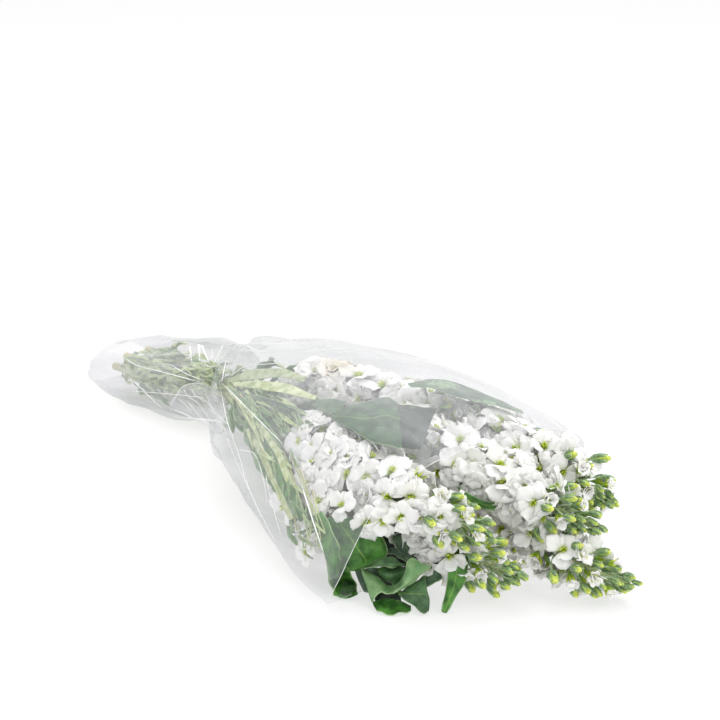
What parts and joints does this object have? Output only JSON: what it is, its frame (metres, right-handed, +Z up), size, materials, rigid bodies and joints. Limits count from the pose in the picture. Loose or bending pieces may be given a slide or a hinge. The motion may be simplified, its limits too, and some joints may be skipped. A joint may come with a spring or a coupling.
{
  "type": "sleeved bunch of stock flowers",
  "caption": "Bunch of white double-flowered stock lying in a clear film sleeve, tied at the stems, with leafy stems, petalled heads and budded tips.",
  "frame": {"origin": "centre of the bounding box in plan, at the lowest point, which lies on the surface", "axes": "+X along the bunch from the cut stem ends to the flower tips, +Z up from the surface, +Y to the left of the bunch seen along +X"},
  "size_m": [0.6892, 0.2854, 0.1226],
  "materials": {
    "leaf": "matte green leaf and stem",
    "petal": "soft matte white petals",
    "film": "clear glossy film",
    "tie": "clear glossy band"
  },
  "bodies": {
    "root": {"stem_a": "leaf", "bloom_a": "petal", "stem_b": "leaf", "bloom_b": "petal", "stem_c": "leaf", "bloom_c": "petal", "stem_d": "leaf", "bloom_d": "petal", "stem_e": "leaf", "bloom_e": "petal", "stem_f": "leaf", "bloom_f": "petal", "stem_g": "leaf", "bloom_g": "petal", "stem_h": "leaf", "bloom_h": "petal", "sleeve": "film", "tie": "tie"}
  },
  "joints": []
}
